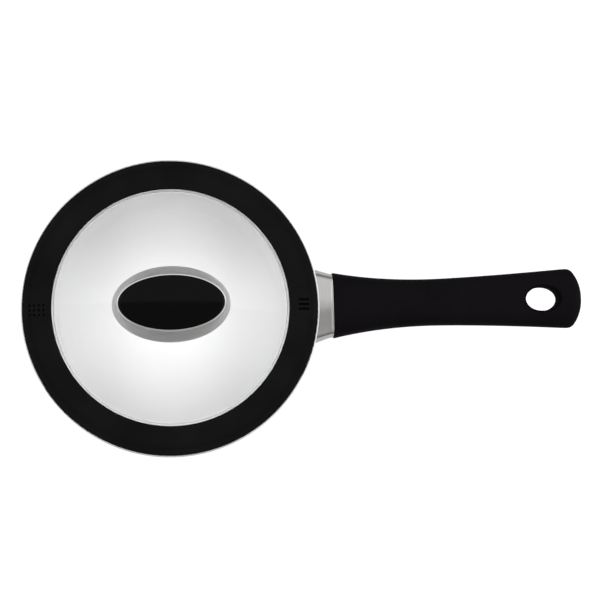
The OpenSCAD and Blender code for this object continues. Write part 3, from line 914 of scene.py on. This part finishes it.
class SAUCEPAN_OT_fixings(SaucepanOperator, Operator):
    """Finish the bracket, nut, screws, washers, insert and bush"""

    bl_idname = "saucepan.fixings"
    bl_label = "Finish Fixings"

    def execute(self, context):
        tints = settings().tints
        paint_nodes(
            ["handle_bracket", "bracket_nut"],
            small_metal("Bracket Steel", scaled(tints.steel, 0.85), 0.38, 2200.0),
        )
        paint_nodes(
            ["handle_screw", "handle_lock_washer", "knob_screw", "knob_spring_washer", "knob_cup_washer"],
            small_metal("Plated Steel", tints.plated, 0.27, 3200.0),
        )
        paint_nodes(["knob_insert"], small_metal("Turned Brass", tints.brass, 0.3, 3000.0))
        paint_nodes(["glass_bush"], moulded("Bush Nylon", tints.nylon, 0.45, 0.5, 1500.0, 0.00002))
        return {"FINISHED"}


class SAUCEPAN_OT_guard(SaucepanOperator, Operator):
    """Press the flame guard that joins pan and grip"""

    bl_idname = "saucepan.guard"
    bl_label = "Flame Guard"

    def execute(self, context):
        s = settings().guard
        front = grip_low.x
        inner = guard_low.x - 0.006
        reach = [inner + (front - 0.0021 - inner) * i / 8 for i in range(9)]
        rings = [guard_ring(x) for x in reach]
        rings += [
            guard_ring(front - 0.0018, -0.05 * s.bead), guard_ring(front - 0.0015, -0.75 * s.bead),
            guard_ring(front - 0.0012, -s.bead), guard_ring(front - 0.0005, -s.bead),
            guard_ring(front - 0.0002, -0.8 * s.bead), guard_ring(front, -0.2 * s.bead),
            guard_ring(front, 0.6 * s.wall), guard_ring(front - 0.0004, s.wall), guard_ring(inner, s.wall),
        ]
        piece = handle_outline("guard", rings[0], s.power, 20)
        draw_along(rings + rings[:1])
        face_outwards()
        clear_selection()
        bpy.ops.mesh.primitive_cylinder_add(
            vertices=256, radius=wall_radius + guard_gap, depth=shell_high.z * 2, location=(0, 0, 0),
        )
        cut_away(piece, settle("pan_room"))
        smooth(piece, 35)
        hand_over(piece, body_with("flame_guard"), "flame_guard",
                  brushed_sheet("Guard Steel", settings().tints.guard, 0.11, (0, 0, 0), 5200.0))
        return {"FINISHED"}


class SAUCEPAN_OT_grip(SaucepanOperator, Operator):
    """Mould the grip, with its hanging hole, tang slot and screw recess"""

    bl_idname = "saucepan.grip"
    bl_label = "Grip"

    def execute(self, context):
        s = settings().grip
        front = grip_low.x
        end = grip_high.x
        straight = [front + 0.0004 + (s.long - 0.0164) * i / 46 for i in range(47)]
        rounded = [end - 0.016 * (1 - i / 34) ** 1.9 for i in range(1, 35)]
        rings = [grip_ring(front, 0.0004)]
        eased = 0.00012
        rings += [
            (front + eased, grip_mid_z(front), grip_half_w(front) - eased, grip_half_h(front) - eased),
        ]
        rings += [grip_ring(x) for x in straight + rounded]
        piece = handle_outline("grip", rings[0], s.power, 20)
        bpy.ops.mesh.edge_face_add()
        pick(piece, lambda co: True)
        bpy.ops.mesh.delete(type="ONLY_FACE")
        bpy.ops.mesh.select_all(action="SELECT")
        draw_along(rings)
        gather_end()
        pick(piece, lambda co: co.x < front + 1e-6)
        bpy.ops.mesh.edge_face_add()
        face_outwards()
        self.cut_hole(piece)
        self.cut_room(piece)
        smooth(piece, 32)
        hole_x = front + s.long - s.hole_back
        hole = (hole_x, s.hole_l / 2 + s.hole_ease, s.hole_w / 2 + s.hole_ease)
        finish = moulded("Grip Plastic", settings().tints.grip, 0.62, 0.052, 2400.0, 0.00004, recess=hole)
        hand_over(piece, body_with("handle_grip"), "handle_grip", finish)
        return {"FINISHED"}

    def cut_hole(self, piece):
        """Cuts the oval hanging hole, with its edges eased at both faces."""
        s = settings().grip
        x = grip_low.x + s.long - s.hole_back
        middle = grip_mid_z(x)
        half = grip_half_h(x)
        opened = [
            (2.0, 2.4), (0.9, 1.45), (0.35, 1.0), (-0.2, 0.62), (-0.75, 0.33), (-1.3, 0.12), (-2.0, 0.0),
        ]
        rings = [(middle - half - s.hole_ease * up, s.hole_ease * out) for up, out in opened]
        rings += [(2 * middle - z, out) for z, out in reversed(rings)]
        rings = [(z, s.hole_l / 2 + out, s.hole_w / 2 + out) for z, out in rings]
        cutter = oval_outline("hole_cutter", rings[0], 96)
        draw_up(rings)
        bpy.ops.mesh.edge_face_add()
        pick(cutter, lambda co: co.z < rings[0][0] + 1e-6)
        bpy.ops.mesh.edge_face_add()
        bpy.ops.mesh.select_all(action="SELECT")
        bpy.ops.transform.translate(value=(x, 0, 0))
        face_outwards()
        cut_away(piece, cutter)

    def cut_room(self, piece):
        """Cuts the slot for the tang, the room for the nut, and the screw's bore and recess."""
        gap = 0.0002
        along = 0.022
        nut, nut_h, tang, tang_w, tang_l, screw = 0.0045, 0.0045, 0.003, 0.018, 0.034, 0.0025
        seat = -(grip_half_h(grip_low.x + along) - 0.0016 - screw * 1.12 - 0.0011)
        cut_away(
            piece,
            tang_block("tang_room", -0.005, tang_l + gap, tang_w / 2 + gap, -tang / 2 - gap, tang / 2 + gap),
        )
        cut_away(piece, tang_block("nut_way", -0.005, along, nut + gap, 0, tang / 2 + nut_h + gap))
        cut_away(piece, tang_bore("nut_room", along, nut + gap + 0.0003, 0, tang / 2 + nut_h + gap + 0.0002))
        cut_away(piece, tang_bore("screw_bore", along, screw + gap, seat - 0.001, 0))
        cut_away(piece, tang_bore("screw_recess", along, screw * 1.95 + 0.0004, seat - 0.02, seat))


class SAUCEPAN_OT_seal(SaucepanOperator, Operator):
    """Finish the lid's silicone band and the pad under its knob"""

    bl_idname = "saucepan.seal"
    bl_label = "Finish Seal"

    def execute(self, context):
        _, band_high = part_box("rim_seal")
        # The slope lets the silicone paint shade into the marks sunk under the band's top.
        slope = (band_high.x - 0.0185, band_high.x, band_high.z, band_high.z - 0.0038)
        rubber = moulded("Silicone", settings().tints.rubber, 0.68, 0.03, 1700.0, 0.00003, 30.0, slope=slope)
        paint_nodes(["rim_seal", "knob_seat"], rubber)
        return {"FINISHED"}


class SAUCEPAN_OT_glass(SaucepanOperator, Operator):
    """Finish the domed glass of the lid"""

    bl_idname = "saucepan.glass"
    bl_label = "Finish Glass"

    def execute(self, context):
        paint_nodes(["glass_dome"], lid_glass())
        return {"FINISHED"}


class SAUCEPAN_OT_core(SaucepanOperator, Operator):
    """Mould the knob's black body with its foot, neck, cup and boss"""

    bl_idname = "saucepan.core"
    bl_label = "Knob Body"

    def execute(self, context):
        s = settings().knob
        foot, under = core_low.z, collar_low.z - 0.0006
        cup = s.wall + 0.00015
        fa, fb = s.foot_long / 2, s.foot_wide / 2
        waist = [
            (foot + 0.002, fa, fb),
            (foot + 0.45 * (under - foot), fa - s.neck, fb - s.neck * 0.6),
            (foot + 0.7 * (under - foot), fa + 0.0005, fb),
            (foot + 0.9 * (under - foot), fa + 0.006, fb + 0.0032),
            (under, s.long / 2 - 0.0045, s.wide / 2 - 0.0045),
            (collar_low.z + cup, s.long / 2 - 0.004, s.wide / 2 - 0.004),
        ]
        rise = collar_high.z - collar_low.z
        cup_low = collar_ring(cup / rise, cup + 0.0002)
        cup_top = collar_ring(1 - 0.0026 / rise, cup)
        inner_top = collar_ring(1 - 0.0026 / rise, s.wall + 0.0026)
        inner_low = collar_ring(0.003 / rise, s.wall + 0.0026)
        bore = 0.0027
        insert_r = (insert_high.x - insert_low.x) / 2
        boss = insert_r + 0.002
        rings = [(foot, bore, bore), (foot, fa - 0.0004, fb - 0.0004), (foot + 0.0004, fa, fb)]
        rings += through(waist, 6)
        rings += [
            cup_low, cup_top, inner_top, inner_low,
            (inner_low[0], boss, boss), (collar_high.z - 0.004, boss, boss),
            (collar_high.z - 0.004, insert_r, insert_r), (insert_low.z, insert_r, insert_r),
            (insert_low.z, bore, bore),
        ]
        piece = oval_outline("knob_body", rings[0], s.sides)
        draw_up(rings + rings[:1])
        face_outwards()
        smooth(piece, 38)
        hand_over(piece, body_with("knob_core"), "knob_core",
                  moulded("Knob Plastic", settings().tints.knob, 0.5, 0.16, 2600.0, 0.00003))
        return {"FINISHED"}


class SAUCEPAN_OT_collar(SaucepanOperator, Operator):
    """Press the knob's oval steel collar"""

    bl_idname = "saucepan.collar"
    bl_label = "Knob Collar"

    def execute(self, context):
        s = settings().knob
        rise = collar_high.z - collar_low.z
        t = s.wall
        low = [(0.0, 0.00025), (0.00008 / rise, 0.0001), (0.00025 / rise, 0.0)]
        high = [
            (1 - 0.00032 / rise, 0.0), (1 - 0.00014 / rise, 0.00006),
            (1 - 0.00004 / rise, 0.00018), (1, 0.00035),
        ]
        back = [(1, t - 0.00012), (1 - 0.0001 / rise, t), (t / rise, t), (t / rise, s.hem), (0.0, s.hem)]
        steps = [(low[-1][0] + (high[0][0] - low[-1][0]) * i / 6, 0.0) for i in range(1, 6)]
        rings = [collar_ring(share, inset) for share, inset in low + steps + high + back]
        piece = oval_outline("knob_ring", rings[0], s.sides)
        draw_up(rings + rings[:1])
        face_outwards()
        smooth(piece, 40)
        hand_over(piece, body_with("knob_collar"), "knob_collar",
                  brushed_sheet("Collar Steel", settings().tints.collar, 0.3, (0, math.pi / 2, 0), 4200.0,
                                polish=(collar_high.z - 0.00035, collar_high.z - 0.0001)))
        return {"FINISHED"}


class SAUCEPAN_OT_cap(SaucepanOperator, Operator):
    """Mould the knob's glossy domed cap with its two catches"""

    bl_idname = "saucepan.cap"
    bl_label = "Knob Cap"

    def execute(self, context):
        s = settings().knob
        rise = collar_high.z - collar_low.z
        gap = s.wall + 0.0001
        crown = cap_high.z - collar_high.z
        skirt = 1 - 0.0025 / rise
        _, a, b = collar_ring(1, gap)
        rings = [
            collar_ring(skirt, gap + 0.0003),
            collar_ring(skirt + 0.0003 / rise, gap),
            collar_ring(1, gap),
        ]
        for i in range(1, 19):
            up = math.sin(math.pi / 2 * i / 18)
            share = math.sqrt(1 - up * up * 0.97)
            rings.append((collar_high.z + crown * up, a * share, b * share))
        piece = oval_outline("knob_top", rings[0], s.sides)
        draw_up(rings)
        gather_end()
        pick(piece, lambda co: co.z < rings[0][0] + 1e-6)
        bpy.ops.mesh.edge_face_add()
        face_outwards()
        self.draw_catches(piece, rings[0][0])
        smooth(piece, 40)
        hand_over(piece, body_with("knob_cap"), "knob_cap", cap_gloss())
        return {"FINISHED"}

    def draw_catches(self, piece, under):
        """Joins the two square catches to the underside of the cap."""
        s = settings().knob
        low = cap_low.z
        for side in (-1, 1):
            middle = side * (s.top_long / 2 - 0.012)
            clear_selection()
            bpy.ops.mesh.primitive_cube_add(size=1, location=(middle, 0, (low + under + 0.0006) / 2),
                                            scale=(0.003, 0.006, under + 0.0006 - low))
            catch = settle("catch")
            bpy.ops.object.mode_set(mode="EDIT")
            bpy.ops.mesh.select_all(action="SELECT")
            bpy.ops.mesh.bevel(offset=0.0004, segments=2, affect="EDGES", clamp_overlap=True)
            bpy.ops.object.mode_set(mode="OBJECT")
            join_on(piece, catch)


def body_with(node):
    """Name of the CAD body that holds a node."""
    for body, members in frame["record"]["behaviour"]["bodies"].items():
        if node in members:
            return body
    raise RuntimeError(f"no body holds {node}")


class SAUCEPAN_OT_stage(SaucepanOperator, Operator):
    """Set the pale floor, the soft light and the camera"""

    bl_idname = "saucepan.stage"
    bl_label = "Stage"

    def execute(self, context):
        self.lay_floor()
        self.light_room()
        self.hang_light("overhead", (0.0, 0.1, 1.9), (0, 0, 0), 2.4, 88.0)
        self.place_camera()
        bpy.context.scene.view_settings.view_transform = "Standard"
        return {"FINISHED"}

    def lay_floor(self):
        """A pale floor that looks brighter to the camera than in reflections."""
        dark, light = (0.155, 0.155, 0.155), (0.165, 0.165, 0.165)
        in_reflections, to_camera = (0.42, 0.42, 0.42), (1, 1, 1)
        clear_selection()
        bpy.ops.mesh.primitive_plane_add(size=12, location=(0, 0, -0.0002))
        floor = settle("floor")
        made, tree, shader, place = new_finish("Pale Floor", roughness=0.9, Specular_IOR_Level=0.0)
        skin = use(tree, fine_grain(), place, Grain=900.0, Mottle=6.0)
        join(tree, blend_colours(tree, skin.outputs["Mottle"], dark, light), shader.inputs["Base Color"])
        seen = tree.nodes.new("ShaderNodeLightPath").outputs["Is Camera Ray"]
        join(tree, blend_colours(tree, seen, in_reflections, to_camera), shader.inputs["Emission Color"])
        shader.inputs["Emission Strength"].default_value = 0.8
        paint(floor, made)

    def light_room(self):
        """A soft white room: brighter on the far side of a line just beyond the zenith."""
        world = bpy.data.worlds.new("Soft Room")
        bpy.context.scene.world = world
        world.use_nodes = True
        tree = world.node_tree
        tree.nodes.clear()
        output = tree.nodes.new("ShaderNodeOutputWorld")
        back = tree.nodes.new("ShaderNodeBackground")
        join(tree, back.outputs[0], output.inputs["Surface"])
        part = tree.nodes.new("ShaderNodeSeparateXYZ")
        join(tree, tree.nodes.new("ShaderNodeTexCoord").outputs["Generated"], part.inputs[0])
        x, y, z = part.outputs
        lean = math.radians(4.4)
        far = math_of(
            tree, "SUBTRACT", math_of(tree, "MULTIPLY", y, math.cos(lean)),
            math_of(tree, "MULTIPLY", z, math.sin(lean)),
        )
        far = math_of(tree, "MULTIPLY_ADD", x, 0.06, far)
        level = spread(tree, far, -0.008, 0.008, 0.56, 1.12, soft=True)
        aside = math_of(tree, "ABSOLUTE", x)
        side = spread(tree, aside, 0.32, 0.62, 0.0, 1.3, soft=True)
        level = math_of(tree, "ADD", level, math_of(tree, "MULTIPLY_ADD", x, 0.06, side))
        low = spread(tree, z, 0.1, 0.6, 1.0, 0.0, soft=True)
        wall = spread(tree, aside, 0.3, 0.85, 0.22, 1.0, soft=True)
        upper = math_of(tree, "MULTIPLY", level, math_of(tree, "SUBTRACT", 1.0, low))
        level = math_of(tree, "MULTIPLY_ADD", wall, low, upper)
        seen = tree.nodes.new("ShaderNodeLightPath").outputs["Is Camera Ray"]
        backdrop = 1.28
        level = math_of(tree, "MAXIMUM", level, math_of(tree, "MULTIPLY", seen, backdrop))
        join(tree, level, back.inputs["Strength"])

    def hang_light(self, name, place, turn, size, power):
        """A square lamp that is itself unseen, both directly and in reflections."""
        clear_selection()
        bpy.ops.object.light_add(type="AREA", location=place, rotation=turn)
        lamp = bpy.context.active_object
        lamp.name = name
        lamp.data.shape = "SQUARE"
        lamp.data.size = size
        lamp.data.energy = power
        lamp.visible_camera = False
        lamp.visible_glossy = False
        lamp.visible_transmission = False

    def place_camera(self):
        """The main view, from above."""
        clear_selection()
        bpy.ops.object.camera_add(
            location=(-0.00894557, -0.07244575, 1.15), rotation=(0.0733700, -0.0837100, -0.0295400),
        )
        camera = bpy.context.active_object
        camera.name = "camera"
        camera.data.lens = 100.17
        camera.data.sensor_width = 36.0
        camera.data.clip_start = 0.01
        camera.data.clip_end = 50.0
        bpy.context.scene.camera = camera


class SAUCEPAN_PT_panel(Panel):
    """Lists the saucepan's sizes, colours and steps."""

    bl_label = "Saucepan"
    bl_idname = "SAUCEPAN_PT_panel"
    bl_space_type = "VIEW_3D"
    bl_region_type = "UI"
    bl_category = "Saucepan"

    def draw(self, context):
        layout = self.layout
        layout.use_property_split = True
        for step in STEPS:
            layout.operator(step.bl_idname)
        for title in ("grip", "guard", "knob", "tints"):
            box = layout.box()
            box.label(text=title.capitalize())
            group = getattr(context.scene.saucepan, title)
            for key in group.__annotations__:
                box.prop(group, key)


STEPS = (
    SAUCEPAN_OT_pan,
    SAUCEPAN_OT_fixings,
    SAUCEPAN_OT_guard,
    SAUCEPAN_OT_grip,
    SAUCEPAN_OT_seal,
    SAUCEPAN_OT_glass,
    SAUCEPAN_OT_core,
    SAUCEPAN_OT_collar,
    SAUCEPAN_OT_cap,
    SAUCEPAN_OT_stage,
)

CLASSES = (
    SaucepanGripSizes,
    SaucepanGuardSizes,
    SaucepanKnobSizes,
    SaucepanTints,
    SaucepanSettings,
    *STEPS,
    SAUCEPAN_PT_panel,
)


def register():
    for made in CLASSES:
        bpy.utils.register_class(made)
    bpy.types.Scene.saucepan = PointerProperty(type=SaucepanSettings)


def unregister():
    del bpy.types.Scene.saucepan
    for made in reversed(CLASSES):
        bpy.utils.unregister_class(made)


def main():
    register()
    bpy.ops.saucepan.pan()
    bpy.ops.saucepan.fixings()
    bpy.ops.saucepan.guard()
    bpy.ops.saucepan.grip()
    bpy.ops.saucepan.seal()
    bpy.ops.saucepan.glass()
    bpy.ops.saucepan.core()
    bpy.ops.saucepan.collar()
    bpy.ops.saucepan.cap()
    bpy.ops.saucepan.stage()


if __name__ == "__main__":
    main()
